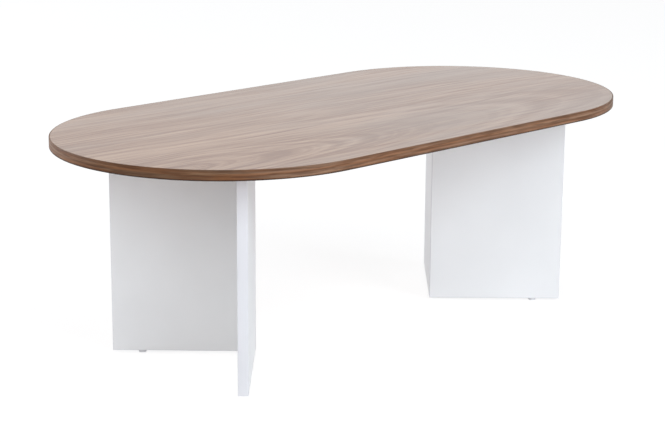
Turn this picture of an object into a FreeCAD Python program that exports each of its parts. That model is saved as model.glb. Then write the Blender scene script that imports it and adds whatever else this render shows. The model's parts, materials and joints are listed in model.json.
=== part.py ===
"""Coffee table: a racetrack-shaped wood-decor top on two V-shaped bases of white board.

Frame: origin on the floor under the middle of the top, +X along the table, +Y across it, +Z up.
Each base is a wide panel and a narrow panel that butts square against it. The corner of the V points
at the middle of the table. The right base is the left one turned half a turn about Z.
Knock-down fittings hold it together: cam locks, cam bolts and dowels. Four screw feet level it.
"""

import FreeCAD
import Part
import math
import os

# Table top, millimetres
TOP_LENGTH = 1200.0
TOP_WIDTH = 600.0
TOP_THICKNESS = 18.0
TOP_EDGING = 2.0
TOP_EDGING_CHAMFER = 0.8
TABLE_HEIGHT = 410.0

# Leg panels
PANEL_THICKNESS = 18.0
ARM_LENGTH = 255.0
CORNER_FROM_TOP_END = 369.0
BASE_TURN_DEG = 45.0
PANEL_EDGING = 1.0
PANEL_EDGING_CHAMFER = 0.4

# Screw feet
FOOT_HEIGHT = 5.0
FOOT_DIAMETER = 14.0
FOOT_CHAMFER = 0.8
FOOT_INSET = 52.0
FOOT_GAP = 0.3
FOOT_SOLE = 1.2
FOOT_TRAVEL = 10.0
STUD_DIAMETER = 6.0
STUD_ENGAGEMENT = 12.0
STUD_HEAD_ACROSS_FLATS = 8.0
STUD_HEAD_THICKNESS = 1.5
KEY_ACROSS_FLATS = 3.0
KEY_DEPTH = 3.0
INSERT_WALL = 1.95
INSERT_LENGTH = 13.0

# Cam fittings
CAM_SETBACK = 34.0
CAM_WALL = 3.1
CAM_FLOOR = 0.9
CAM_SLOT_DEG = 100.0
CAM_DRIVE_SPAN = 9.0
CAM_DRIVE_WIDTH = 1.8
CAM_DRIVE_DEPTH = 2.5
BOLT_THREAD_DIAMETER = 5.0
BOLT_THREAD_LENGTH = 11.0
BOLT_SHANK_DIAMETER = 7.0
BOLT_NECK_DIAMETER = 3.4
BOLT_HEAD_DIAMETER = 6.0
BOLT_HEAD_LENGTH = 5.0
CAP_OVERLAP = 1.0
CAP_THICKNESS = 1.0
CAP_TAPER = 0.5

# Dowels
DOWEL_DIAMETER = 8.0
DOWEL_LENGTH = 30.0
DOWEL_FACE_DEPTH = 11.0
DOWEL_FLUTES = 8
FLUTE_DEPTH = 0.6

# Flat sides of the hidden fittings and of the holes that they sit in
FITTING_SIDES = 10

# Places of the fittings: a cam between two dowels under the top, and two pairs of cam and dowel at the corner
TOP_DOWEL_INSET = 55.0
CORNER_CAM_INSET = 80.0
CORNER_DOWEL_PITCH = 32.0

# Clearances, on the radius unless the name says otherwise
SEAT_CLEARANCE = 0.1
RUNNING_CLEARANCE = 0.05
HEAD_CLEARANCE = 0.4
SHANK_CLEARANCE = 0.5
HOLE_END_CLEARANCE = 1.0

# Levels and fitting sizes worked out from those above
TOP_UNDERSIDE = TABLE_HEIGHT - TOP_THICKNESS
CORNER_FROM_MIDDLE = TOP_LENGTH / 2 - CORNER_FROM_TOP_END
PANEL_BOTTOM = FOOT_HEIGHT
PANEL_FACE = PANEL_THICKNESS / 2
STUD_TIP = FOOT_HEIGHT + FOOT_TRAVEL + STUD_ENGAGEMENT
STUD_BORE_RADIUS = STUD_DIAMETER / 2 + RUNNING_CLEARANCE
STUD_HEAD_RADIUS = STUD_HEAD_ACROSS_FLATS / math.sqrt(3)
STUD_HEAD_TOP = FOOT_SOLE + STUD_HEAD_THICKNESS
KEY_RADIUS = KEY_ACROSS_FLATS / math.sqrt(3)
INSERT_RADIUS = STUD_BORE_RADIUS + INSERT_WALL
CAM_HOLLOW_HALF_HEIGHT = BOLT_HEAD_DIAMETER / 2 + HEAD_CLEARANCE
CAM_HOLLOW_RADIUS = math.hypot(BOLT_HEAD_DIAMETER, BOLT_HEAD_LENGTH) / 2 + HEAD_CLEARANCE
CAM_RADIUS = CAM_HOLLOW_RADIUS + CAM_WALL
CAM_DEPTH = PANEL_FACE + CAM_HOLLOW_HALF_HEIGHT + CAM_FLOOR
CAM_BORE_RADIUS = CAM_RADIUS + SEAT_CLEARANCE
SHANK_BORE_RADIUS = max(BOLT_SHANK_DIAMETER, BOLT_HEAD_DIAMETER) / 2 + SHANK_CLEARANCE

HEX = 6
SAME = 1e-6
X = FreeCAD.Vector(1, 0, 0)
Y = FreeCAD.Vector(0, 1, 0)
Z = FreeCAD.Vector(0, 0, 1)
ORIGIN = FreeCAD.Vector(0, 0, 0)


def box(low, high):
    """A box between two opposite corners."""
    low, high = FreeCAD.Vector(*low), FreeCAD.Vector(*high)
    size = high - low
    return Part.makeBox(size.x, size.y, size.z, low)


def rod(radius, start, end):
    """A cylinder of that radius between two points."""
    start, end = FreeCAD.Vector(*start), FreeCAD.Vector(*end)
    return Part.makeCylinder(radius, (end - start).Length, start, end - start)


def prism(corners, start, end):
    """A straight bar between two points, whose section is a list of (radius, share of a turn) corners."""
    start, end = FreeCAD.Vector(*start), FreeCAD.Vector(*end)
    upright = FreeCAD.Rotation(Z, end - start)
    points = []
    for radius, share in corners:
        turn = 2 * math.pi * share
        points.append(start + upright.multVec(X * radius * math.cos(turn) + Y * radius * math.sin(turn)))
    return Part.Face(Part.makePolygon(points + points[:1])).extrude(end - start)


def sided(radius, start, end, sides=FITTING_SIDES):
    """A bar with equal flat sides, its corners at that radius, between two points."""
    return prism([(radius, number / sides) for number in range(sides)], start, end)


def sided_round(radius, start, end, sides=FITTING_SIDES):
    """A bar with equal flat sides that stand at that radius, so that a rod of it can turn inside."""
    return sided(radius / math.cos(math.pi / sides), start, end, sides)


def chamfered(solid, size, wanted):
    """The solid with the edges that wanted(edge) picks chamfered."""
    return solid.makeChamfer(size, [edge for edge in solid.Edges if wanted(edge)])


def placed(shape, placement):
    """A copy of the shape moved to a placement."""
    copy = shape.copy()
    copy.Placement = placement.multiply(copy.Placement)
    return copy


def is_level(edge):
    """True for an edge that lies at one height."""
    return edge.BoundBox.ZLength < SAME


def racetrack(length, width, low, high):
    """An upright slab with two straight sides and two half-round ends, between two heights."""
    radius = width / 2
    straight = length / 2 - radius
    front_left = FreeCAD.Vector(-straight, -radius, low)
    front_right = FreeCAD.Vector(straight, -radius, low)
    rear_right = FreeCAD.Vector(straight, radius, low)
    rear_left = FreeCAD.Vector(-straight, radius, low)
    outline = Part.Wire([
        Part.LineSegment(front_left, front_right).toShape(),
        Part.Arc(front_right, FreeCAD.Vector(length / 2, 0, low), rear_right).toShape(),
        Part.LineSegment(rear_right, rear_left).toShape(),
        Part.Arc(rear_left, FreeCAD.Vector(-length / 2, 0, low), front_left).toShape(),
    ])
    return Part.Face(outline).extrude(Z * (high - low))


# Fittings, each drawn at its own origin


def cam_bolt():
    """Bolt along X: its thread screws into a board's face at X = 0, and its head lies in the cam lock."""
    head_start = X * (CAM_SETBACK - BOLT_HEAD_LENGTH / 2)
    head_end = X * (CAM_SETBACK + BOLT_HEAD_LENGTH / 2)
    neck_start = X * (CAM_SETBACK - CAM_RADIUS - HEAD_CLEARANCE)
    thread = sided(BOLT_THREAD_DIAMETER / 2, X * -BOLT_THREAD_LENGTH, ORIGIN)
    shank = sided(BOLT_SHANK_DIAMETER / 2, ORIGIN, neck_start)
    neck = sided(BOLT_NECK_DIAMETER / 2, neck_start, head_start)
    head = sided(BOLT_HEAD_DIAMETER / 2, head_start, head_end)
    return thread.fuse([shank, neck, head])


def cam_lock():
    """Cam lock about Z at X = CAM_SETBACK, with the bolt's line at Z = 0 and its drive towards +Z.

    The bolt's head enters by a mouth in the side, and its neck runs along a slot as the lock turns.
    """
    slot = BOLT_NECK_DIAMETER / 2 + HEAD_CLEARANCE
    mouth = CAM_HOLLOW_HALF_HEIGHT
    beyond = CAM_RADIUS + CAM_WALL
    cam = sided(CAM_RADIUS, Z * (PANEL_FACE - CAM_DEPTH), Z * PANEL_FACE)
    cam = cam.cut(sided(CAM_HOLLOW_RADIUS, Z * -CAM_HOLLOW_HALF_HEIGHT, Z * CAM_HOLLOW_HALF_HEIGHT))
    sweep = CAM_SLOT_DEG / 360
    sector = [(0, 0), (beyond, 1 / 2), (beyond, 1 / 2 + sweep / 2), (beyond, 1 / 2 + sweep)]
    cam = cam.cut(prism(sector, Z * -slot, Z * slot))
    cam = cam.cut(box((-beyond, -slot, -slot), (0, slot, slot)))
    turned_mouth = FreeCAD.Placement(ORIGIN, FreeCAD.Rotation(Z, CAM_SLOT_DEG))
    cam = cam.cut(placed(box((-beyond, -mouth, -mouth), (0, mouth, mouth)), turned_mouth))
    for span, across in ((X, Y), (Y, X)):
        half = span * (CAM_DRIVE_SPAN / 2) + across * (CAM_DRIVE_WIDTH / 2)
        cam = cam.cut(box(Z * (PANEL_FACE - CAM_DRIVE_DEPTH) - half, Z * PANEL_FACE + half))
    cam.translate(X * CAM_SETBACK)
    return cam


def cover_cap():
    """Cap on the cam lock: a thin disc on the board's face with a blade that plugs into the drive."""
    radius = CAM_BORE_RADIUS + CAP_OVERLAP
    disc = Part.makeCone(radius, radius - CAP_TAPER, CAP_THICKNESS, Z * PANEL_FACE)
    half_span = CAM_DRIVE_SPAN / 2 - SEAT_CLEARANCE
    half_width = CAM_DRIVE_WIDTH / 2 - SEAT_CLEARANCE
    blade_end = PANEL_FACE - CAM_DRIVE_DEPTH + HEAD_CLEARANCE
    cap = disc.fuse(box((-half_span, -half_width, blade_end), (half_span, half_width, PANEL_FACE)))
    cap.translate(X * CAM_SETBACK)
    return cap


def cam_bores():
    """What the cam joint takes out of the board that holds the cam lock."""
    middle = X * CAM_SETBACK
    lock = sided(CAM_BORE_RADIUS, middle + Z * (PANEL_FACE - CAM_DEPTH), middle + Z * PANEL_FACE)
    return lock.fuse(sided(SHANK_BORE_RADIUS, ORIGIN, middle))


def bolt_bore():
    """What the cam joint takes out of the board that the bolt screws into."""
    depth = BOLT_THREAD_LENGTH + HOLE_END_CLEARANCE
    return sided(BOLT_THREAD_DIAMETER / 2 + SEAT_CLEARANCE, X * -depth, ORIGIN)


def dowel():
    """Fluted dowel along X: below X = 0 it sits in a board's face, above in the other board's edge."""
    ridge = DOWEL_DIAMETER / 2
    corners = []
    for number in range(DOWEL_FLUTES):
        corners.append((ridge, number / DOWEL_FLUTES))
        corners.append((ridge - FLUTE_DEPTH, (number + 1 / 2) / DOWEL_FLUTES))
    return prism(corners, X * -DOWEL_FACE_DEPTH, X * (DOWEL_LENGTH - DOWEL_FACE_DEPTH))


def dowel_bores():
    """The dowel's holes in the board's face and in the other board's edge."""
    radius = DOWEL_DIAMETER / 2 + SEAT_CLEARANCE
    face_end = X * -(DOWEL_FACE_DEPTH + HOLE_END_CLEARANCE)
    edge_end = X * (DOWEL_LENGTH - DOWEL_FACE_DEPTH + HOLE_END_CLEARANCE)
    in_face = sided_round(radius, face_end, ORIGIN)
    in_edge = sided_round(radius, ORIGIN, edge_end)
    return in_face, in_edge


def foot_stud():
    """Screw stud of a foot, along Z, with a hexagon head that the glide holds and a key socket below."""
    head = sided(STUD_HEAD_RADIUS, Z * FOOT_SOLE, Z * STUD_HEAD_TOP, HEX)
    shank = rod(STUD_DIAMETER / 2, Z * STUD_HEAD_TOP, Z * STUD_TIP)
    socket = sided(KEY_RADIUS, Z * FOOT_SOLE, Z * (FOOT_SOLE + KEY_DEPTH), HEX)
    return head.fuse(shank).cut(socket)


def foot_glide():
    """Round glide that stands on the floor; the stud turns in it, and a key passes through its sole."""
    radius = FOOT_DIAMETER / 2
    crown = FOOT_HEIGHT - FOOT_GAP
    glide = rod(radius, Z * FOOT_CHAMFER, Z * crown)
    glide = glide.fuse(Part.makeCone(radius - FOOT_CHAMFER, radius, FOOT_CHAMFER))
    pocket_floor, pocket_top = Z * (FOOT_SOLE - RUNNING_CLEARANCE), Z * (STUD_HEAD_TOP + RUNNING_CLEARANCE)
    pocket = sided_round(STUD_HEAD_RADIUS + RUNNING_CLEARANCE, pocket_floor, pocket_top)
    shank_hole = rod(STUD_BORE_RADIUS, Z * FOOT_SOLE, Z * crown)
    key_hole = sided_round(KEY_RADIUS + HEAD_CLEARANCE, ORIGIN, Z * FOOT_SOLE, HEX)
    return glide.cut(pocket).cut(shank_hole).cut(key_hole)


def foot_insert():
    """Press-in sleeve with flat sides that keep it from turning, flush with the underside of the panel."""
    sleeve_top = Z * (PANEL_BOTTOM + INSERT_LENGTH)
    sleeve = sided(INSERT_RADIUS, Z * PANEL_BOTTOM, sleeve_top)
    return sleeve.cut(rod(STUD_BORE_RADIUS, Z * PANEL_BOTTOM, sleeve_top))


def foot_bore():
    """What a foot takes out of its panel: the sleeve's hole and room for the stud's end above it."""
    sleeve_top = Z * (PANEL_BOTTOM + INSERT_LENGTH)
    sleeve = sided(INSERT_RADIUS + SEAT_CLEARANCE, Z * PANEL_BOTTOM, sleeve_top)
    room_top = Z * (STUD_TIP + HOLE_END_CLEARANCE)
    return sleeve.fuse(sided_round(STUD_DIAMETER / 2 + HEAD_CLEARANCE, Z * PANEL_BOTTOM, room_top))


# Places in a base: X runs along the wide panel and Y along the narrow one, from the V's outer corner


def joint_place(point, along, face_normal):
    """Placement of a fitting whose X runs along the joint and whose Z leaves the panel's inner face."""
    turn = FreeCAD.Rotation(along, face_normal.cross(along), face_normal, "XZY")
    return FreeCAD.Placement(FreeCAD.Vector(*point), turn)


def corner_places():
    """Cam and dowel placements of the corner joint, where the narrow panel butts against the wide one."""
    low, high = PANEL_BOTTOM + CORNER_CAM_INSET, TOP_UNDERSIDE - CORNER_CAM_INSET

    def at(height):
        return joint_place((PANEL_FACE, PANEL_THICKNESS, height), Y, X)

    return [at(low), at(high)], [at(low + CORNER_DOWEL_PITCH), at(high - CORNER_DOWEL_PITCH)]


def top_places(panel):
    """Cam and dowel placements of the joint between one panel's upper edge and the table top."""
    near = TOP_DOWEL_INSET + (PANEL_THICKNESS if panel == "narrow" else 0)
    far = ARM_LENGTH - TOP_DOWEL_INSET

    def at(distance):
        if panel == "wide":
            return joint_place((distance, PANEL_FACE, TOP_UNDERSIDE), -Z, Y)
        return joint_place((PANEL_FACE, distance, TOP_UNDERSIDE), -Z, X)

    return [at((near + far) / 2)], [at(near), at(far)]


def foot_place(panel):
    """Placement of the foot under one panel."""
    distance = ARM_LENGTH - FOOT_INSET
    point = (distance, PANEL_FACE, 0) if panel == "wide" else (PANEL_FACE, distance, 0)
    return FreeCAD.Placement(FreeCAD.Vector(*point), FreeCAD.Rotation())


def base_place(side):
    """Where a base stands in the table."""
    turn = 180 - BASE_TURN_DEG if side == "left" else -BASE_TURN_DEG
    middle = -CORNER_FROM_MIDDLE if side == "left" else CORNER_FROM_MIDDLE
    return FreeCAD.Placement(X * middle, FreeCAD.Rotation(Z, turn))


# Panels and their edging


def edging_strip(low, high, outward, along):
    """A strip of edging with its two long outer corners chamfered; outward is the way its face looks."""
    strip = box(low, high)
    reach = max(vertex.Point.dot(outward) for vertex in strip.Vertexes)

    def outer_long_edge(edge):
        start, end = (vertex.Point for vertex in edge.Vertexes)
        runs_along = (end - start).cross(along).Length < SAME
        return runs_along and abs(start.dot(outward) - reach) < SAME

    return chamfered(strip, PANEL_EDGING_CHAMFER, outer_long_edge)


def wide_panel():
    """The wide panel's board, inside its edging, before the bores."""
    return box((PANEL_EDGING, 0, PANEL_BOTTOM + PANEL_EDGING),
               (ARM_LENGTH - PANEL_EDGING, PANEL_THICKNESS, TOP_UNDERSIDE))


def narrow_panel():
    """The narrow panel's board, inside its edging, before the bores."""
    return box((0, PANEL_THICKNESS, PANEL_BOTTOM + PANEL_EDGING),
               (PANEL_THICKNESS, ARM_LENGTH - PANEL_EDGING, TOP_UNDERSIDE))


def panel_edging():
    """Edging strips of one base, by name: upright ones full height, lower ones between them."""
    strip_top = PANEL_BOTTOM + PANEL_EDGING
    end = ARM_LENGTH - PANEL_EDGING
    return {
        "wide_panel_end_edging": edging_strip(
            (end, 0, PANEL_BOTTOM), (ARM_LENGTH, PANEL_THICKNESS, TOP_UNDERSIDE), X, Z),
        "wide_panel_corner_edging": edging_strip(
            (0, 0, PANEL_BOTTOM), (PANEL_EDGING, PANEL_THICKNESS, TOP_UNDERSIDE), -X, Z),
        "wide_panel_lower_edging": edging_strip(
            (PANEL_EDGING, 0, PANEL_BOTTOM), (end, PANEL_THICKNESS, strip_top), -Z, X),
        "narrow_panel_end_edging": edging_strip(
            (0, end, PANEL_BOTTOM), (PANEL_THICKNESS, ARM_LENGTH, TOP_UNDERSIDE), Y, Z),
        "narrow_panel_lower_edging": edging_strip(
            (0, PANEL_THICKNESS, PANEL_BOTTOM), (PANEL_THICKNESS, end, strip_top), -Z, Y),
    }


def base_pieces():
    """One base in its own frame: its nodes by name, its feet by panel, and its bores in the table top."""
    lock, bolt, cap, pin = cam_lock(), cam_bolt(), cover_cap(), dowel()
    lock_bores, thread_bore = cam_bores(), bolt_bore()
    dowel_in_face, dowel_in_edge = dowel_bores()
    stud, glide, insert, insert_bore = foot_stud(), foot_glide(), foot_insert(), foot_bore()

    boards = {"wide": wide_panel(), "narrow": narrow_panel()}
    edging = panel_edging()
    groups = {"corner_cam_locks": [], "corner_cam_bolts": [], "corner_dowels": [],
              "top_cam_locks": [], "top_cam_bolts": [], "top_dowels": [],
              "cam_cover_caps": [], "foot_inserts": []}
    feet, top_bores = {}, []

    def add_cams(joint, places, cam_board, bolt_bore_of):
        for place in places:
            groups[joint + "_cam_locks"].append(placed(lock, place))
            groups[joint + "_cam_bolts"].append(placed(bolt, place))
            groups["cam_cover_caps"].append(placed(cap, place))
            boards[cam_board] = boards[cam_board].cut(placed(lock_bores, place))
            bolt_bore_of(placed(thread_bore, place))

    def add_dowels(joint, places, edge_board, face_bore_of):
        for place in places:
            groups[joint + "_dowels"].append(placed(pin, place))
            boards[edge_board] = boards[edge_board].cut(placed(dowel_in_edge, place))
            face_bore_of(placed(dowel_in_face, place))

    def bore_wide(tool):
        boards["wide"] = boards["wide"].cut(tool)

    cams, dowels = corner_places()
    add_cams("corner", cams, "narrow", bore_wide)
    add_dowels("corner", dowels, "narrow", bore_wide)
    for panel in ("wide", "narrow"):
        cams, dowels = top_places(panel)
        add_cams("top", cams, panel, top_bores.append)
        add_dowels("top", dowels, panel, top_bores.append)
        place = foot_place(panel)
        tool = placed(insert_bore, place)
        lower = panel + "_panel_lower_edging"
        boards[panel] = boards[panel].cut(tool)
        edging[lower] = edging[lower].cut(tool)
        groups["foot_inserts"].append(placed(insert, place))
        feet[panel] = {"stud": placed(stud, place), "glide": placed(glide, place)}

    nodes = {"wide_panel": boards["wide"], "narrow_panel": boards["narrow"], **edging}
    nodes.update({name: Part.makeCompound(solids) for name, solids in groups.items()})
    return nodes, feet, top_bores


def foot_corner(side, panel):
    """The table's corner that a panel's foot stands at."""
    rear = (side == "left") == (panel == "wide")
    return ("rear_" if rear else "front_") + side


def table_nodes():
    """Every node of the table by name."""
    inner_length, inner_width = TOP_LENGTH - 2 * TOP_EDGING, TOP_WIDTH - 2 * TOP_EDGING
    board = racetrack(inner_length, inner_width, TOP_UNDERSIDE, TABLE_HEIGHT)
    rim = racetrack(TOP_LENGTH, TOP_WIDTH, TOP_UNDERSIDE, TABLE_HEIGHT)
    rim = chamfered(rim, TOP_EDGING_CHAMFER, is_level)
    nodes = {"table_top_edging": rim.cut(board)}
    base_nodes, feet, top_bores = base_pieces()
    for side in ("left", "right"):
        where = base_place(side)
        for name, shape in base_nodes.items():
            nodes[side + "_" + name] = placed(shape, where)
        for panel, pieces in feet.items():
            for name, shape in pieces.items():
                nodes["foot_" + name + "_" + foot_corner(side, panel)] = placed(shape, where)
        for bore in top_bores:
            board = board.cut(placed(bore, where))
    nodes["table_top_board"] = board
    return nodes


def main():
    os.makedirs("parts", exist_ok=True)
    for name, shape in sorted(table_nodes().items()):
        shape.exportStep(os.path.join("parts", name + ".step"))


main()
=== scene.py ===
"""Looks of the coffee table: walnut-decor top with its edging, white panel bases, screw feet and fittings.

Lengths are in metres in the table's own frame: origin on the floor under the middle of the top, +X along
the table, +Y across it, +Z up.
"""

import json
import math

import bmesh
import bpy
from mathutils import Color, Matrix, Vector


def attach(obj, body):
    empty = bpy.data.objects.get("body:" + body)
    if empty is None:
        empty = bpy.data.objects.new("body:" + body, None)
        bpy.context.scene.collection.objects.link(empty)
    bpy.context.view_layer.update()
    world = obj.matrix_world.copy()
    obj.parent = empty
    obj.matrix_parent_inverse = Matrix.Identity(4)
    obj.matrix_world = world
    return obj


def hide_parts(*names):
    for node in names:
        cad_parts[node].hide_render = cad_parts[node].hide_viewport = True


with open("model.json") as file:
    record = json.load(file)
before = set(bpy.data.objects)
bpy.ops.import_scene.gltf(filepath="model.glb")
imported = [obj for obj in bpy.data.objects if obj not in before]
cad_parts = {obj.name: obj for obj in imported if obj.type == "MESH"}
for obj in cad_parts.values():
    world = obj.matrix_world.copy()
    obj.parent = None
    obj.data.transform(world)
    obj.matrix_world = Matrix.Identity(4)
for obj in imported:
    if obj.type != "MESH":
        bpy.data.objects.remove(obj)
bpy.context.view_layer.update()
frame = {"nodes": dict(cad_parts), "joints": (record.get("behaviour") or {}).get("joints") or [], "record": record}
cad = frame["nodes"]

MM = 0.001
X = Vector((1, 0, 0))
Y = Vector((0, 1, 0))
Z = Vector((0, 0, 1))

# Modelling
SAME_PLACE = 0.01 * MM
THREAD_SEAM = 0.002 * MM
THREAD_CUT = 0.004 * MM
ROUNDING_STEPS = 5
SMOOTH_ANGLE = math.radians(35)

# Table top
TOP_HALF_LENGTH = 600 * MM
TOP_HALF_WIDTH = 300 * MM
TOP_THICKNESS = 18 * MM
TOP_SURFACE = 410 * MM
TOP_UNDERSIDE = TOP_SURFACE - TOP_THICKNESS
EDGING_THICKNESS = 2 * MM
EDGING_ROUNDING = 1.3 * MM
JOINT_BEVEL = 0.12 * MM
END_STEPS = 72
END_CENTRE = TOP_HALF_LENGTH - TOP_HALF_WIDTH

# Bases
CORNER_FROM_MIDDLE = 231 * MM
ARM_ANGLE = math.radians(45)
ARM_LENGTH = 255 * MM
PANEL_THICKNESS = 18 * MM
PANEL_BOTTOM = 5 * MM
PANEL_STRIP = 1 * MM
PANEL_STRIP_ROUNDING = 0.9 * MM
CORNER_CAM_INSET = 80 * MM
CORNER_DOWEL_PITCH = 32 * MM
TOP_DOWEL_INSET = 55 * MM

# Cam locks, cam bolts, dowels and their bores, cover caps
CAM_SETBACK = 34 * MM
CAM_RADIUS = 7.405 * MM
CAM_FOOT = -4.3 * MM
CAM_FACE = 9 * MM
CAM_EASE = 0.4 * MM
CAM_EASE_STEPS = 2
CAM_STEPS = 40
CAM_HOLLOW_RADIUS = 4.305 * MM
CAM_HOLLOW_HALF_HEIGHT = 3.4 * MM
CAM_SLOT = math.radians(100)
CAM_WALL_STEPS = 30
CAM_DRIVE_HALF_SPAN = 4.5 * MM
CAM_DRIVE_HALF_WIDTH = 0.9 * MM
CAM_DRIVE_DEPTH = 2.5 * MM
BOLT_DEPTH = 11 * MM
BOLT_THREAD_RADIUS = 2.5 * MM
BOLT_ROOT_RADIUS = 1.75 * MM
BOLT_PITCH = 2.2 * MM
BOLT_SHANK_RADIUS = 3.5 * MM
BOLT_SHANK_END = 26.1 * MM
BOLT_SHANK_CHAMFER = 0.5 * MM
BOLT_NECK_RADIUS = 1.7 * MM
BOLT_HEAD_RADIUS = 3 * MM
BOLT_HEAD_START = 31.5 * MM
BOLT_END = 36.5 * MM
BOLT_STEPS = 32
DOWEL_RADIUS = 4 * MM
DOWEL_LENGTH = 30 * MM
DOWEL_DEPTH = 11 * MM
DOWEL_CHAMFER = 0.7 * MM
DOWEL_FLUTES = 8
DOWEL_FLUTE_STEPS = 6
DOWEL_FLUTE_DEPTH = 0.6 * MM
BORE_CLEARANCE = 0.1 * MM
BORE_DEPTH = 12 * MM
BORE_STEPS = 24
CAP_RADIUS = 8.505 * MM
CAP_THICKNESS = 1 * MM
CAP_RIM = 0.25 * MM
CAP_BLADE = Vector((8.8, 1.6, 2.1)) * MM
CAP_STEPS = 40

# Feet
GLIDE_RADIUS = 7 * MM
GLIDE_HEIGHT = 4.7 * MM
GLIDE_SOLE = 1.2 * MM
GLIDE_EASE = 0.5 * MM
GLIDE_STEPS = 56
STUD_RADIUS = 3 * MM
STUD_ROOT_RADIUS = 2.42 * MM
STUD_PITCH = 1 * MM
STUD_TIP = 27 * MM
STUD_CLEARANCE = 0.1 * MM
STUD_HEAD_RADIUS = 8 * MM / math.sqrt(3)
STUD_HEAD_TOP = 2.7 * MM
STUD_HEAD_SIDES = 6
HEAD_SIDE_CLEARANCE = 0.25 * MM
HEAD_END_CLEARANCE = 0.05 * MM
KEY_RADIUS = 3 * MM / math.sqrt(3)
KEY_DEPTH = 1.2 * MM
KEY_CLEARANCE = 0.4 * MM
INSERT_RADIUS = 5 * MM
INSERT_BORE = 3.05 * MM
INSERT_LENGTH = 13 * MM
INSERT_BARBS = 6
INSERT_BARB_DEPTH = 0.45 * MM
INSERT_STEPS = 40
THREAD_STEPS = 24
THREAD_RUN_IN_TURNS = 1.5

# Walnut figure: lengths from its own origin, waves per metre along, across and through the board
NOISE_MIDDLE = 0.5
WANDER_WAVES = (1.2, 2.6, 1)
WANDER_REACH = 90 * MM
RIPPLE_WAVES = (5, 17, 1)
RIPPLE_REACH = 11 * MM
HEART_LINE = 20 * MM
HEART_SLOPE = 0.15
HEARTWOOD_CORE = 20 * MM
HEARTWOOD_EDGE = 130 * MM
HEARTWOOD_DARKER = 0.1
HEARTWOOD_WARMER = 0.05
RING_ROUGHNESS = 0.55
LOG_RINGS = 11
LOG_RING_WEIGHT = 0.5
ARCH_RINGS = 90
ARCH_WEIGHT = 0.38
ARCH_HEART_WEIGHT = 0.6
ARCHES_FADE = 500 * MM
ARCHES_END = 850 * MM
STREAK_WAVES = (3, 110, 1)
STREAK_RANGE = (0.57, 0.72)
STREAK_DEPTH = 0.2
FIBRE_WAVES = (3.4, 80, 1)
FIBRE_WEIGHT = 0.45
FINE_FIBRE_WAVES = (7, 240, 1)
FINE_FIBRE_WEIGHT = 0.6
HAIR_WAVES = (14, 520, 1)
HAIR_WEIGHT = 0.3
TONE_SWING = 0.28
GREY_WAVES = (0.8, 3.6, 1)
GREY_RANGE = (0.38, 0.62)
GREY_SHARE = 0.6
# Painted sheen: the top is less grey at its left end and greyer towards the right, where the view grazes it
PAINTED_SHEEN_START = 150 * MM
PAINTED_SHEEN_END = 1350 * MM
PAINTED_SHEEN_GREYING = 0.05
PORE_WAVES = (20, 900, 1)
PORE_RANGE = (0.6, 0.72)
PORE_SHARE = 0.25

# Print and painted light of the top's edging strip: lengths along the rim from the front's middle, heights from
# the floor
# Painted sheen on the strip: paler in long stretches along the rim, palest near the middle of the front
STRIP_PAINTED_SHEEN_REPEAT = 1200 * MM
STRIP_PAINTED_SHEEN_PEAK = -10 * MM
STRIP_PAINTED_SHEEN_RANGE = (-1.0, -0.3)
STRIP_WARM_WAVES = (7, 210, 1)
STRIP_WARM_RANGE = (0.4, 0.62)
STRIP_RING = 7 * MM
STRIP_RING_HEIGHT = TOP_UNDERSIDE + 8 * MM
STRIP_RING_RANGE = (-0.7, 1.0)
STRIP_WAVER = 3.5 * MM
STRIP_WAVER_WAVES = (6, 60, 1)
STRIP_LINE_WAVES = (14, 330, 1)
STRIP_LINE_RANGE = (0.43, 0.62)
UPPER_MARGIN = (TOP_SURFACE - 3.6 * MM, TOP_SURFACE - 1.4 * MM)
# The lower margin is painted shade along the strip's lower arris
LOWER_ARRIS_PAINTED_SHADE = (TOP_UNDERSIDE + 2.8 * MM, TOP_UNDERSIDE + 1.4 * MM)

# Board, plastic and metal skins
CLOUD_WAVES = (5, 5, 5)
CLOUD_RANGE = (0.3, 0.7)
PEEL_WAVES = (900, 900, 900)
SPECKLE_WAVES = (2500, 2500, 2500)
TARNISH_WAVES = (160, 160, 160)
TARNISH_RANGE = (0.35, 0.7)
WOOD_ROUGHNESS_SWING = 0.05
CLOUD_ROUGHNESS = 0.05
TARNISH_ROUGHNESS = 0.15
BOARD_IOR = 1.5
SCREEN_WHITE = 255

# Floor, light and camera
FLOOR_HALF = 14.0
FLOOR_GLOW = 0.81
FLOOR_WHITE = 0.34
FLOOR_BOUNCE = 0.9
SKY_LEVEL = 0.33
SKY_COLOUR = (0.98, 0.995, 1.03, 1)
WHITE = (1, 1, 1, 1)
LAMP_TARGET = Vector((0, 0, 0.2))
CAMERA_PLACE = Vector((-2.290226, -2.273703, 1.018729))
CAMERA_TURN = Vector((75.75517, -0.38044, -44.610856))
CAMERA_LENS = 96.9092
CAMERA_SENSOR = 36.0
CAMERA_REACH = 100.0


# Modelling steps


def only(kind, geometry):
    """The items of one bmesh type in an operator's result."""
    return [item for item in geometry if isinstance(item, kind)]


def points_of(edges):
    """The end points of some edges, each once and in order."""
    return list(dict.fromkeys(point for edge in edges for point in edge.verts))


def edges_of(items):
    """The edges of some faces or at some points, each once and in order."""
    def beside(item):
        return item.edges if isinstance(item, bmesh.types.BMFace) else item.link_edges
    return list(dict.fromkeys(edge for item in items for edge in beside(item)))


def line_of(shape, points, closed=False):
    """A chain of edges through points."""
    corners = [shape.verts.new(point) for point in points]
    pairs = list(zip(corners, corners[1:]))
    if closed:
        pairs.append((corners[-1], corners[0]))
    return [shape.edges.new(pair) for pair in pairs]


def close_seams(shape):
    """Merge the doubled points of a swept shape and turn its faces outwards."""
    bmesh.ops.remove_doubles(shape, verts=shape.verts, dist=SAME_PLACE)
    bmesh.ops.recalc_face_normals(shape, faces=shape.faces)


def join_into(shape, part):
    """Add a finished part to a shape of several parts."""
    carried = bpy.data.meshes.new("carried part")
    part.to_mesh(carried)
    part.free()
    shape.from_mesh(carried)
    bpy.data.meshes.remove(carried)


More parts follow.
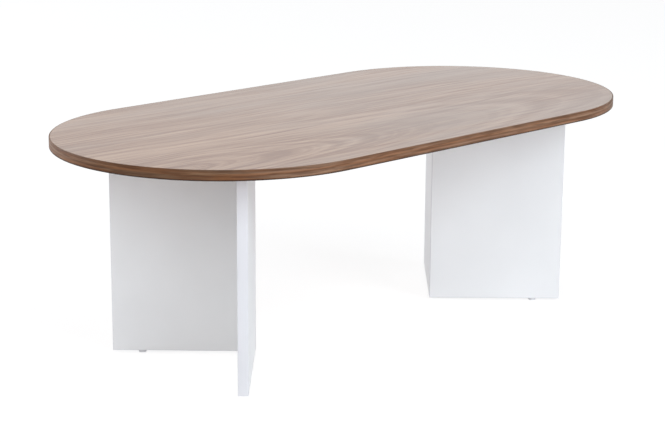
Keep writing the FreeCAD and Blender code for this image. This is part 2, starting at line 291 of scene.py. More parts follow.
def round_off(shape, geometry, radius, steps, kind="EDGES"):
    """Round edges, or the corners of a flat outline, in a number of steps; one step makes a chamfer."""
    bmesh.ops.bevel(shape, geom=geometry, offset=radius, offset_type="OFFSET", segments=steps, profile=0.5,
                    affect=kind, material=-1, clamp_overlap=True)


def flat_rims(shape):
    """The level edges of an upright plate, round both of its faces."""
    return [edge for edge in shape.edges if edge.verts[0].co.z == edge.verts[1].co.z]


def round_face(shape, radius, height, steps):
    """A level round face about the upright axis, and the points of its rim."""
    rim = bmesh.ops.create_circle(shape, cap_ends=True, radius=radius, segments=steps,
                                  matrix=Matrix.Translation(Z * height))["verts"]
    return rim[0].link_faces[0], rim


def thicken(shape, face, height):
    """Make a plate of a level face and return the plate's far face."""
    grown = bmesh.ops.extrude_face_region(shape, geom=[face], use_keep_orig=True)["geom"]
    bmesh.ops.translate(shape, verts=only(bmesh.types.BMVert, grown), vec=Z * height)
    return only(bmesh.types.BMFace, grown)[0]


def push_in(shape, faces, shift):
    """Sink faces into a shape as a pocket."""
    floor = bmesh.ops.extrude_face_region(shape, geom=faces)["geom"]
    bmesh.ops.translate(shape, verts=only(bmesh.types.BMVert, floor), vec=shift)
    bmesh.ops.delete(shape, geom=faces, context="FACES")


def turned(profile, steps, centre=(0, 0), closed=True):
    """A shape turned about an upright axis from a (radius, height) outline, open if it ends on the axis."""
    shape = bmesh.new()
    x, y = centre
    outline = line_of(shape, [(x + radius, y, height) for radius, height in profile], closed)
    bmesh.ops.spin(shape, geom=outline + list(shape.verts), cent=(x, y, 0), axis=Z, dvec=(0, 0, 0),
                   angle=math.tau, steps=steps, use_merge=True)
    close_seams(shape)
    return shape


# Table top


def end_chain(shape, side, inset):
    """The half-round end of the top's outline, as a chain of points from one long side to the other."""
    middle = side * END_CENTRE
    start = shape.verts.new((middle, -side * (TOP_HALF_WIDTH - inset), TOP_SURFACE))
    bmesh.ops.spin(shape, geom=[start], cent=(middle, 0, 0), axis=Z, dvec=(0, 0, 0), angle=math.pi,
                   steps=END_STEPS)


def sink_bores(shape, bores):
    """Open round blind holes, given as (place, radius), in the board's underside."""
    under = min(shape.faces, key=lambda face: face.calc_center_median().z)
    outline = list(under.edges)
    bmesh.ops.delete(shape, geom=[under], context="FACES_ONLY")
    mouths = []
    for place, radius in bores:
        ring = bmesh.ops.create_circle(shape, radius=radius, segments=BORE_STEPS,
                                       matrix=Matrix.Translation(place))
        mouths.append(edges_of(ring["verts"]))
    bmesh.ops.triangle_fill(shape, use_beauty=True, edges=sum(mouths, outline), normal=-Z)
    for mouth in mouths:
        floor = bmesh.ops.extrude_edge_only(shape, edges=mouth)["geom"]
        bmesh.ops.translate(shape, verts=only(bmesh.types.BMVert, floor), vec=Z * BORE_DEPTH)
        bmesh.ops.contextual_create(shape, geom=only(bmesh.types.BMEdge, floor))
    bmesh.ops.recalc_face_normals(shape, faces=shape.faces)


def top_board(bores):
    """The decor-faced board, inside its edging, with its rims eased by a hair and its underside bored."""
    shape = bmesh.new()
    for side in (1, -1):
        end_chain(shape, side, EDGING_THICKNESS)
    for side in (1, -1):
        ends = [point for point in shape.verts
                if abs(point.co.x) < END_CENTRE + SAME_PLACE and point.co.y * side > 0]
        shape.edges.new(ends)
    face = bmesh.ops.contextual_create(shape, geom=list(shape.edges))["faces"][0]
    thicken(shape, face, -TOP_THICKNESS)
    bmesh.ops.recalc_face_normals(shape, faces=shape.faces)
    round_off(shape, flat_rims(shape), JOINT_BEVEL, 1)
    sink_bores(shape, bores)
    return shape


def sweep_along(shape, edges, distance):
    """Carry a chain of edges along X and return the far chain."""
    moved = bmesh.ops.extrude_edge_only(shape, edges=edges)["geom"]
    bmesh.ops.translate(shape, verts=only(bmesh.types.BMVert, moved), vec=X * distance)
    return only(bmesh.types.BMEdge, moved)


def sweep_round(shape, edges, middle):
    """Carry a chain of edges round the half-round end about X = middle and return the far chain."""
    moved = bmesh.ops.spin(shape, geom=edges + points_of(edges), cent=X * middle, axis=Z, dvec=(0, 0, 0),
                           angle=math.pi, steps=END_STEPS)["geom_last"]
    return only(bmesh.types.BMEdge, moved)


def edging_section(shape):
    """The strip's section at the middle of the rear: rounded outside, eased where it meets the board."""
    outer, inner = TOP_HALF_WIDTH, TOP_HALF_WIDTH - EDGING_THICKNESS
    corners = [shape.verts.new((0, across, height)) for across, height in (
        (outer, TOP_UNDERSIDE), (outer, TOP_SURFACE), (inner, TOP_SURFACE), (inner, TOP_UNDERSIDE))]
    shape.faces.new(corners)
    round_off(shape, corners[:2], EDGING_ROUNDING, ROUNDING_STEPS, "VERTICES")
    inner_corners = [point for point in shape.verts if abs(point.co.y - inner) < SAME_PLACE]
    round_off(shape, inner_corners, JOINT_BEVEL, 1, "VERTICES")
    bmesh.ops.delete(shape, geom=list(shape.faces), context="FACES_ONLY")
    return list(shape.edges)


def along_rim(point, right_half):
    """Distance along the rim from the middle of the front side, positive to the right."""
    x, y = point.x, point.y
    if abs(x) > END_CENTRE:
        distance = END_CENTRE + TOP_HALF_WIDTH * (math.atan2(y, abs(x) - END_CENTRE) + math.pi / 2)
    elif y < 0:
        distance = abs(x)
    else:
        distance = END_CENTRE + math.pi * TOP_HALF_WIDTH + (END_CENTRE - abs(x))
    if abs(x) < SAME_PLACE:
        return distance if right_half else -distance
    return math.copysign(distance, x)


def top_edging():
    """The walnut strip round the rim, swept from the middle of the rear, with a map along its length."""
    shape = bmesh.new()
    chain = edging_section(shape)
    chain = sweep_along(shape, chain, -END_CENTRE)
    chain = sweep_round(shape, chain, -END_CENTRE)
    chain = sweep_along(shape, chain, 2 * END_CENTRE)
    chain = sweep_round(shape, chain, END_CENTRE)
    sweep_along(shape, chain, -END_CENTRE)
    close_seams(shape)
    strip_map = shape.loops.layers.uv.new("along_strip")
    for face in shape.faces:
        right_half = face.calc_center_median().x > 0
        for loop in face.loops:
            place = loop.vert.co
            reach = math.hypot(max(abs(place.x) - END_CENTRE, 0), place.y)
            across = place.z + (TOP_HALF_WIDTH - reach)
            loop[strip_map].uv = (along_rim(place, right_half), across)
    return shape


# Bases


def base_place(side):
    """Where a base stands: X along its wide panel and Y along its narrow one, from the V's outer corner.

    The left base is the right one turned half round.
    """
    half_turn = Matrix.Rotation(math.pi if side == "left" else 0, 4, "Z")
    return half_turn @ Matrix.Translation(X * CORNER_FROM_MIDDLE) @ Matrix.Rotation(-ARM_ANGLE, 4, "Z")


def fitting_place(point, along, face_normal):
    """Place of a fitting whose X runs along its joint and whose Z leaves the panel's inner face."""
    axes = Matrix((along, face_normal.cross(along), face_normal)).transposed().to_4x4()
    return Matrix.Translation(point) @ axes


def joint_places(corner_inset, wide_spots, narrow_spots):
    """Places of fittings at the corner, and under the top along the wide and the narrow panel."""
    half = PANEL_THICKNESS / 2
    corner = [fitting_place((half, PANEL_THICKNESS, height), Y, X)
              for height in (PANEL_BOTTOM + corner_inset, TOP_UNDERSIDE - corner_inset)]
    top = [fitting_place((spot, half, TOP_UNDERSIDE), -Z, Y) for spot in wide_spots]
    top += [fitting_place((half, spot, TOP_UNDERSIDE), -Z, X) for spot in narrow_spots]
    return {"corner": corner, "top": top}


CAM_PLACES = joint_places(
    CORNER_CAM_INSET,
    [ARM_LENGTH / 2],
    [(ARM_LENGTH + PANEL_THICKNESS) / 2])
DOWEL_PLACES = joint_places(
    CORNER_CAM_INSET + CORNER_DOWEL_PITCH,
    [TOP_DOWEL_INSET, ARM_LENGTH - TOP_DOWEL_INSET],
    [PANEL_THICKNESS + TOP_DOWEL_INSET, ARM_LENGTH - TOP_DOWEL_INSET])
UPRIGHT_TO_JOINT = Matrix.Rotation(math.radians(90), 4, "Y")


def top_bores():
    """Places and radii of the holes in the top's underside, for the bolts and the dowels of both bases."""
    found = []
    for side in ("left", "right"):
        for places, radius in ((CAM_PLACES, BOLT_THREAD_RADIUS), (DOWEL_PLACES, DOWEL_RADIUS)):
            for place in places["top"]:
                found.append(((base_place(side) @ place).translation, radius + BORE_CLEARANCE))
    return found


def set_of(side, one, places, turn=Matrix()):
    """A group of equal fittings of one base, each made at the origin and put in its place."""
    shape = bmesh.new()
    for place in places:
        single = one()
        bmesh.ops.transform(single, matrix=base_place(side) @ place @ turn, verts=single.verts)
        join_into(shape, single)
    return shape


def upright_strip(low, high, outward):
    """A panel's end strip between two plan corners, with its two outer arrises rounded."""
    shape = bmesh.new()
    low, high = Vector((*low, PANEL_BOTTOM)), Vector((*high, TOP_UNDERSIDE))
    sizes = Matrix.Diagonal((*(high - low), 1))
    bmesh.ops.create_cube(shape, size=1, matrix=Matrix.Translation((low + high) / 2) @ sizes)
    middle = (low + high).dot(outward) / 2
    arrises = [edge for edge in shape.edges if edge.verts[0].co.xy == edge.verts[1].co.xy
               and edge.verts[0].co.dot(outward) > middle]
    round_off(shape, arrises, PANEL_STRIP_ROUNDING, ROUNDING_STEPS)
    return shape


def panel_strips():
    """The rounded strips of one base in its own place: the V's corner and both free ends."""
    near, far = ARM_LENGTH - PANEL_STRIP, ARM_LENGTH
    return {"wide_panel_corner": upright_strip((0, 0), (PANEL_STRIP, PANEL_THICKNESS), -X),
            "wide_panel_end": upright_strip((near, 0), (far, PANEL_THICKNESS), X),
            "narrow_panel_end": upright_strip((0, near), (PANEL_THICKNESS, far), Y)}


# Fittings


def cam_plate(shape, low, high):
    """A round plate of the cam between two heights; returns its upper face."""
    lower, _ = round_face(shape, CAM_RADIUS, low, CAM_STEPS)
    return thicken(shape, lower, high - low)


def cam_front(shape):
    """The flat faces of the cam's front."""
    return [face for face in shape.faces if face.calc_center_median().z > CAM_FACE - SAME_PLACE]


def sink_cross_drive(shape):
    """Score the arms of a cross drive in the cam's front and push them in."""
    for axis in (X, Y):
        for reach in (CAM_DRIVE_HALF_WIDTH, CAM_DRIVE_HALF_SPAN):
            for way in (1, -1):
                front = cam_front(shape)
                edges = edges_of(front)
                bmesh.ops.bisect_plane(shape, geom=front + edges + points_of(edges), plane_no=axis,
                                       plane_co=axis * reach * way)
    cross = []
    for face in cam_front(shape):
        middle = face.calc_center_median()
        near, far = sorted((abs(middle.x), abs(middle.y)))
        if near < CAM_DRIVE_HALF_WIDTH and far < CAM_DRIVE_HALF_SPAN:
            cross.append(face)
    push_in(shape, cross, -Z * CAM_DRIVE_DEPTH)


def cam_wall():
    """The cam's wall, with a slot towards its bolt."""
    wall = bmesh.new()
    low, high = -CAM_HOLLOW_HALF_HEIGHT, CAM_HOLLOW_HALF_HEIGHT
    corners = [(CAM_HOLLOW_RADIUS, low), (CAM_RADIUS, low), (CAM_RADIUS, high), (CAM_HOLLOW_RADIUS, high)]
    section = wall.faces.new([wall.verts.new((radius, 0, height)) for radius, height in corners])
    to_slot = Matrix.Rotation(CAM_SLOT / 2 - math.pi, 3, "Z")
    bmesh.ops.rotate(wall, verts=wall.verts, cent=(0, 0, 0), matrix=to_slot)
    bmesh.ops.spin(wall, geom=[section], cent=(0, 0, 0), axis=Z, dvec=(0, 0, 0), angle=math.tau - CAM_SLOT,
                   steps=CAM_WALL_STEPS)
    return wall


def cam_lock():
    """Cast cam: a floor, a wall open towards its bolt, and a front plate with a cross drive."""
    shape = bmesh.new()
    cam_plate(shape, CAM_FOOT, -CAM_HOLLOW_HALF_HEIGHT)
    front = cam_plate(shape, CAM_HOLLOW_HALF_HEIGHT, CAM_FACE)
    round_off(shape, list(front.edges), CAM_EASE, CAM_EASE_STEPS)
    sink_cross_drive(shape)
    join_into(shape, cam_wall())
    bmesh.ops.recalc_face_normals(shape, faces=shape.faces)
    bmesh.ops.translate(shape, verts=shape.verts, vec=X * CAM_SETBACK)
    return shape


def screw_thread(shape, root, crest, pitch, low, high):
    """A right-hand thread about the upright axis, cut flat and closed at both ends."""
    start = low - THREAD_RUN_IN_TURNS * pitch
    turns = math.ceil((high - start) / pitch) + 1
    tooth = [(root, 0), (root, 0.25), (crest, 0.56), (crest, 0.69), (root, 1)]
    edges = line_of(shape, [(radius, 0, start + share * pitch) for radius, share in tooth])
    bmesh.ops.spin(shape, geom=edges + points_of(edges), cent=(0, 0, 0), axis=Z,
                   dvec=(0, 0, pitch / THREAD_STEPS), angle=math.tau * turns, steps=THREAD_STEPS * turns)
    bmesh.ops.remove_doubles(shape, verts=shape.verts, dist=THREAD_SEAM)
    for height, outward in ((low, -Z), (high, Z)):
        everything = list(shape.verts) + list(shape.edges) + list(shape.faces)
        bmesh.ops.bisect_plane(shape, geom=everything, plane_co=Z * height, plane_no=outward,
                               clear_outer=True)
        bmesh.ops.remove_doubles(shape, verts=shape.verts, dist=THREAD_CUT)
        rim = [edge for edge in shape.edges if edge.is_boundary
               and all(abs(point.co.z - height) < SAME_PLACE for point in edge.verts)]
        bmesh.ops.contextual_create(shape, geom=rim)


def cam_bolt():
    """Cam bolt: a coarse screw into the face, a plain shank, a neck and a rounded head."""
    shape = bmesh.new()
    screw_thread(shape, BOLT_ROOT_RADIUS, BOLT_THREAD_RADIUS, BOLT_PITCH, -BOLT_DEPTH, 0)
    shank, chamfer, head = BOLT_SHANK_RADIUS, BOLT_SHANK_CHAMFER, BOLT_HEAD_RADIUS
    profile = [
        (0, 0), (shank, 0), (shank, BOLT_SHANK_END - chamfer), (shank - chamfer, BOLT_SHANK_END),
        (BOLT_NECK_RADIUS, BOLT_SHANK_END), (BOLT_NECK_RADIUS, BOLT_HEAD_START),
        (0.75 * head, BOLT_HEAD_START + 0.1 * head), (head, BOLT_HEAD_START + 0.5 * head),
        (head, BOLT_END - 0.6 * head), (0.8 * head, BOLT_END - 0.2 * head), (0.45 * head, BOLT_END),
        (0, BOLT_END)]
    join_into(shape, turned(profile, BOLT_STEPS, closed=False))
    close_seams(shape)
    return shape


def dowel():
    """Fluted beech dowel with chamfered ends."""
    shape = bmesh.new()
    lower, rim = round_face(shape, DOWEL_RADIUS, -DOWEL_DEPTH, DOWEL_FLUTES * DOWEL_FLUTE_STEPS)
    flute = 1 - DOWEL_FLUTE_DEPTH / DOWEL_RADIUS
    bmesh.ops.scale(shape, verts=rim[::DOWEL_FLUTE_STEPS], vec=(flute, flute, 1))
    thicken(shape, lower, DOWEL_LENGTH)
    bmesh.ops.recalc_face_normals(shape, faces=shape.faces)
    round_off(shape, flat_rims(shape), DOWEL_CHAMFER, 1)
    return shape


def cover_cap():
    """Domed cap, flat on the panel's inner face, with a blade that plugs into its cam lock's drive."""
    seat = PANEL_THICKNESS / 2
    crown = seat + CAP_THICKNESS
    dome = [(0, 0), (0.35, 0.02 * MM), (0.7, 0.1 * MM), (0.9, 0.28 * MM), (0.97, 0.5 * MM)]
    profile = [(share * CAP_RADIUS, crown - fall) for share, fall in dome]
    profile += [(CAP_RADIUS, seat + CAP_RIM), (CAP_RADIUS, seat), (0, seat)]
    shape = turned(profile, CAP_STEPS, closed=False)
    blade = Matrix.Translation(Z * (seat - CAP_BLADE.z / 2)) @ Matrix.Diagonal((*CAP_BLADE, 1))
    bmesh.ops.create_cube(shape, size=1, matrix=blade)
    bmesh.ops.translate(shape, verts=shape.verts, vec=X * CAM_SETBACK)
    return shape


# Feet


def glide(centre):
    """Moulded glide: eased sole and crown, a pocket for the stud's head and a key hole in the sole."""
    outer, top, ease = GLIDE_RADIUS, GLIDE_HEIGHT, GLIDE_EASE
    key_hole = KEY_RADIUS + KEY_CLEARANCE
    throat = STUD_RADIUS + STUD_CLEARANCE
    pocket = STUD_HEAD_RADIUS + HEAD_SIDE_CLEARANCE
    pocket_top = STUD_HEAD_TOP + HEAD_END_CLEARANCE
    pocket_floor = GLIDE_SOLE - HEAD_END_CLEARANCE
    profile = [
        (key_hole, 0), (outer - 1.6 * ease, 0), (outer - 0.9 * ease, 0.25 * ease),
        (outer - 0.35 * ease, 0.9 * ease), (outer - 0.1 * ease, 1.8 * ease), (outer, top - 0.6 * ease),
        (outer - 0.2 * ease, top - 0.15 * ease), (outer - 0.6 * ease, top), (throat, top),
        (throat, pocket_top), (pocket, pocket_top), (pocket, pocket_floor), (key_hole, pocket_floor)]
    return turned(profile, GLIDE_STEPS, centre)


def stud(centre):
    """Threaded stud with a hexagon head and a key socket."""
    shape = bmesh.new()
    screw_thread(shape, STUD_ROOT_RADIUS, STUD_RADIUS, STUD_PITCH, STUD_HEAD_TOP, STUD_TIP)
    sole, _ = round_face(shape, STUD_HEAD_RADIUS, GLIDE_SOLE, STUD_HEAD_SIDES)
    thicken(shape, sole, STUD_HEAD_TOP - GLIDE_SOLE)
    rim_width = (STUD_HEAD_RADIUS - KEY_RADIUS) * math.cos(math.pi / STUD_HEAD_SIDES)
    bmesh.ops.inset_region(shape, faces=[sole], thickness=rim_width)
    push_in(shape, [sole], Z * KEY_DEPTH)
    bmesh.ops.recalc_face_normals(shape, faces=shape.faces)
    bmesh.ops.translate(shape, verts=shape.verts, vec=(*centre, 0))
    return shape


def insert(centre):
    """Brass insert with barbs that hold it in the panel's underside."""
    pitch = INSERT_LENGTH / INSERT_BARBS
    outline = [(INSERT_BORE, PANEL_BOTTOM), (INSERT_RADIUS, PANEL_BOTTOM)]
    for barb in range(INSERT_BARBS):
        start = PANEL_BOTTOM + barb * pitch
        outline.append((INSERT_RADIUS, start + 0.55 * pitch))
        outline.append((INSERT_RADIUS - INSERT_BARB_DEPTH, start + 0.98 * pitch))
    outline.append((INSERT_BORE, PANEL_BOTTOM + INSERT_LENGTH))
    return turned(outline, INSERT_STEPS, centre)


# Shader steps


def put(tree, kind, inputs=None, **settings):
    """Add a shader node, set its options, and fill or link its inputs by name or number."""
    node = tree.nodes.new("ShaderNode" + kind)
    for name, value in settings.items():
        setattr(node, name, value)
    for name, value in (inputs or {}).items():
        if isinstance(value, bpy.types.NodeSocket):
            tree.links.new(value, node.inputs[name])
        else:
            node.inputs[name].default_value = value
    return node


def srgb(red, green, blue):
    """A linear colour from 0 to 255 screen values."""
    screen = Color([value / SCREEN_WHITE for value in (red, green, blue)])
    return (*screen.from_srgb_to_scene_linear(), 1)


def grey_of(level):
    """A neutral linear colour."""
    return (level, level, level, 1)


def mixed(tree, share, first, second):
    """A colour mixed from two by a share of the second."""
    return put(tree, "Mix", {0: share, 6: first, 7: second}, data_type="RGBA").outputs[2]


def overlaid(tree, colour, mask, share, overlay):
    """A colour that takes a share of an overlay colour where a mask is 1; overlays carry grain, print and painted
    light.
    """
    return mixed(tree, times(tree, mask, share), colour, overlay)


def worked(tree, operation, *values):
    """One arithmetic step on one or two values."""
    return put(tree, "Math", dict(enumerate(values)), operation=operation).outputs[0]


def plus(tree, first, second):
    """Two values added."""
    return worked(tree, "ADD", first, second)


def minus(tree, first, second):
    """One value less another."""
    return worked(tree, "SUBTRACT", first, second)


def times(tree, first, second):
    """Two values multiplied."""
    return worked(tree, "MULTIPLY", first, second)


def spread(tree, value, low, high, new_low=0.0, new_high=1.0):
    """A value stretched from one range to another, held within it."""
    ends = {"Value": value, "From Min": low, "From Max": high, "To Min": new_low, "To Max": new_high}
    return put(tree, "MapRange", ends, interpolation_type="SMOOTHSTEP").outputs["Result"]


def noise(tree, place, waves, detail=2.0, roughness=0.5):
    """Smooth noise with its own number of waves per metre along each axis."""
    stretched = put(tree, "Mapping", {"Vector": place, "Scale": waves}).outputs["Vector"]
    settings = {"Vector": stretched, "Scale": 1.0, "Detail": detail, "Roughness": roughness}
    return put(tree, "TexNoise", settings).outputs["Fac"]


def centred(tree, value):
    """A noise value moved to swing about zero."""
    return minus(tree, value, NOISE_MIDDLE)


def rings(tree, radius, per_metre, detail):
    """Growth rings of uneven width, as noise along the log's radius."""
    steps = times(tree, radius, per_metre)
    settings = {"W": steps, "Scale": 1.0, "Detail": detail, "Roughness": RING_ROUGHNESS}
    return put(tree, "TexNoise", settings, noise_dimensions="1D").outputs["Fac"]


def effect(name, *outputs):
    """An empty shader group that turns a place into named values, with its inner ends."""
    group = bpy.data.node_groups.new(name, "ShaderNodeTree")
    group.interface.new_socket("Vector", in_out="INPUT", socket_type="NodeSocketVector")
    for socket in outputs:
        group.interface.new_socket(socket, in_out="OUTPUT", socket_type="NodeSocketFloat")
    place = group.nodes.new("NodeGroupInput").outputs["Vector"]
    return group, place, group.nodes.new("NodeGroupOutput").inputs


def place_effect(tree, group, place):
    """An effect set into a material at its own place."""
    return put(tree, "Group", {"Vector": place}, node_tree=group).outputs


# Effects that several finishes share


def walnut_figure():
    """Walnut decor with its grain along X.

    Growth rings run along a wandering heart line and arch over it at the left end, among darker streaks,
    fine fibres and pores. The wood turns greyer in slow patches, and a painted sheen makes it less grey at the
    left end and greyer towards the right.
    """
    group, place, result = effect("walnut figure", "Tone", "Grey and sheen", "Pore")
    along, sideways, upwards = put(group, "SeparateXYZ", {0: place}).outputs
    wander = times(group, centred(group, noise(group, place, WANDER_WAVES)), WANDER_REACH)
    ripple = times(group, centred(group, noise(group, place, RIPPLE_WAVES)), RIPPLE_REACH)
    across = plus(group, sideways, plus(group, wander, ripple))
    grain = put(group, "CombineXYZ", {"X": along, "Y": across, "Z": upwards}).outputs[0]

    beside = minus(group, across, HEART_LINE)
    depth = times(group, along, HEART_SLOPE)
    squares = plus(group, times(group, beside, beside), times(group, depth, depth))
    radius = worked(group, "SQRT", squares)
    heartwood = spread(group, worked(group, "ABSOLUTE", beside), HEARTWOOD_EDGE, HEARTWOOD_CORE)

    arches = rings(group, radius, ARCH_RINGS, detail=3.0)
    left_end = spread(group, along, ARCHES_END, ARCHES_FADE, 0.0, ARCH_HEART_WEIGHT)
    heart_tone = minus(group, times(group, centred(group, arches), left_end), HEARTWOOD_DARKER)
    streaks = spread(group, noise(group, grain, STREAK_WAVES, detail=1.0), *STREAK_RANGE)
    tone = minus(group, times(group, heartwood, heart_tone), times(group, streaks, STREAK_DEPTH))
    layers = (
        (rings(group, radius, LOG_RINGS, detail=1.5), LOG_RING_WEIGHT),
        (arches, ARCH_WEIGHT),
        (noise(group, grain, FIBRE_WAVES), FIBRE_WEIGHT),
        (noise(group, grain, FINE_FIBRE_WAVES, roughness=0.55), FINE_FIBRE_WEIGHT),
        (noise(group, grain, HAIR_WAVES, detail=1.0), HAIR_WEIGHT))
    for layer, weight in layers:
        tone = plus(group, tone, times(group, centred(group, layer), weight))

    patches = noise(group, grain, GREY_WAVES, detail=4.0, roughness=0.58)
    # painted sheen: less grey at the left end, greyer towards the right
    painted_sheen = spread(group, along, PAINTED_SHEEN_START, PAINTED_SHEEN_END, -PAINTED_SHEEN_GREYING, PAINTED_SHEEN_GREYING)
    grey = plus(group, minus(group, patches, times(group, heartwood, HEARTWOOD_WARMER)), painted_sheen)
    pores = noise(group, grain, PORE_WAVES, detail=1.0)
    group.links.new(spread(group, tone, -TONE_SWING, TONE_SWING), result["Tone"])
    group.links.new(spread(group, grey, *GREY_RANGE), result["Grey and sheen"])
    group.links.new(spread(group, pores, *PORE_RANGE), result["Pore"])
    return group


def melamine_skin():
    """White board skin: a fine orange-peel relief and a slow cloudiness."""
    group, place, result = effect("melamine skin", "Cloud", "Peel")
    cloud = noise(group, place, CLOUD_WAVES, detail=3.0)
    group.links.new(spread(group, cloud, *CLOUD_RANGE), result["Cloud"])
    group.links.new(noise(group, place, PEEL_WAVES, detail=1.0), result["Peel"])
    return group


def metal_skin():
    """Plated or cast metal: fine speckle and slow tarnish."""
    group, place, result = effect("metal skin", "Speckle", "Tarnish")
    tarnish = noise(group, place, TARNISH_WAVES, detail=4.0, roughness=0.6)
    group.links.new(noise(group, place, SPECKLE_WAVES), result["Speckle"])
    group.links.new(spread(group, tarnish, *TARNISH_RANGE), result["Tarnish"])
    return group


# Finishes


def new_finish(name, **constants):
    """A material with its shader, whose even values are set on the shader itself."""
    material = bpy.data.materials.new(name)
    material.use_nodes = True
    tree = material.node_tree
    shader = tree.nodes["Principled BSDF"]
    for socket, value in constants.items():
        shader.inputs[socket.replace("_", " ")].default_value = value
    return material, tree, shader


def vary_roughness(tree, shader, mask, at_none, at_full):
    """Roughness that follows a mask from 0 to 1."""
    tree.links.new(spread(tree, mask, 0.0, 1.0, at_none, at_full), shader.inputs["Roughness"])


def raise_relief(tree, shader, height, strength, distance):
    """Small relief on a shader's normal."""
    bump = put(tree, "Bump", {"Strength": strength, "Distance": distance, "Height": height})
    tree.links.new(bump.outputs["Normal"], shader.inputs["Normal"])


def object_place(tree):
    """The piece's own coordinates, which are the table's."""
    return put(tree, "TexCoord").outputs["Object"]


def strip_place(tree):
    """Coordinates along and across the swept edging."""
    return put(tree, "UVMap", uv_map="along_strip").outputs["UV"]


def strip_trim(tree, colour):
    """Print: warm streaks and growth lines; painted sheen in pale stretches; a darker upper margin; painted shade
    at the lower arris.
    """
    place = strip_place(tree)
    along, across, _ = put(tree, "SeparateXYZ", {0: place}).outputs
    # painted sheen: the strip pales in long stretches along the rim
    turn = times(tree, minus(tree, along, STRIP_PAINTED_SHEEN_PEAK), math.tau / STRIP_PAINTED_SHEEN_REPEAT)
    pale = spread(tree, worked(tree, "COSINE", turn), *STRIP_PAINTED_SHEEN_RANGE)
    warm = spread(tree, noise(tree, place, STRIP_WARM_WAVES), *STRIP_WARM_RANGE)
    waver = times(tree, centred(tree, noise(tree, place, STRIP_WAVER_WAVES, detail=3.0)), STRIP_WAVER)
    height = minus(tree, plus(tree, across, waver), STRIP_RING_HEIGHT)
    ring_turn = times(tree, height, math.tau / STRIP_RING)
    ring = spread(tree, worked(tree, "COSINE", ring_turn), *STRIP_RING_RANGE)
    fibres = noise(tree, place, STRIP_LINE_WAVES, detail=3.0, roughness=0.6)
    lines = spread(tree, fibres, *STRIP_LINE_RANGE)
    print_and_painted_light = (
        # pale stretches: painted sheen
        (pale, 0.48, srgb(176, 134, 106)),
        (warm, 0.5, srgb(132, 78, 38)),
        (ring, 0.36, srgb(70, 42, 26)),
        (lines, 0.57, srgb(66, 38, 22)),
        (spread(tree, across, *UPPER_MARGIN), 0.25, srgb(66, 38, 22)),
        # lower margin: painted shade along the strip's lower arris
        (spread(tree, across, *LOWER_ARRIS_PAINTED_SHADE), 0.8, srgb(42, 28, 20)))
    for mask, share, overlay in print_and_painted_light:
        colour = overlaid(tree, colour, mask, share, overlay)
    return colour


def wood_finish(name, figure, place_of, heart, scale, colours, roughness, gloss=0.5, trim=None):
    """A wood decor surface from dark, light, grey and pore colours, grey also as painted sheen, and any print and
    painted light on top.
    """
    material, tree, shader = new_finish(name, IOR=BOARD_IOR, Specular_IOR_Level=gloss)
    mapping = put(tree, "Mapping", {"Vector": place_of(tree), "Location": heart, "Scale": scale})
    parts = place_effect(tree, figure, mapping.outputs["Vector"])
    dark, light, grey, pore = colours
    colour = mixed(tree, parts["Tone"], dark, light)
    colour = overlaid(tree, colour, parts["Grey and sheen"], GREY_SHARE, grey)
    colour = overlaid(tree, colour, parts["Pore"], PORE_SHARE, pore)
    if trim:
        colour = trim(tree, colour)
    tree.links.new(colour, shader.inputs["Base Color"])
    swing = WOOD_ROUGHNESS_SWING
    vary_roughness(tree, shader, parts["Tone"], roughness + swing, roughness - swing)
    raise_relief(tree, shader, minus(tree, 1.0, parts["Pore"]), strength=0.1, distance=0.03 * MM)
    return material


def white_finish(name, skin, colour, shade, roughness, gloss=0.5):
    """A white or grey melamine or plastic surface."""
    material, tree, shader = new_finish(name, IOR=BOARD_IOR, Specular_IOR_Level=gloss)
    parts = place_effect(tree, skin, object_place(tree))
    tree.links.new(mixed(tree, parts["Cloud"], colour, shade), shader.inputs["Base Color"])
    vary_roughness(tree, shader, parts["Cloud"], roughness, roughness + CLOUD_ROUGHNESS)
    raise_relief(tree, shader, parts["Peel"], strength=0.12, distance=0.02 * MM)
    return material


def metal_finish(name, skin, bright, dull, roughness):
    """A metal surface that dulls in patches."""
    material, tree, shader = new_finish(name, Metallic=1.0)
    parts = place_effect(tree, skin, object_place(tree))
    tree.links.new(mixed(tree, parts["Tarnish"], bright, dull), shader.inputs["Base Color"])
    vary_roughness(tree, shader, parts["Tarnish"], roughness, roughness + TARNISH_ROUGHNESS)
    raise_relief(tree, shader, parts["Speckle"], strength=0.2, distance=0.01 * MM)
    return material


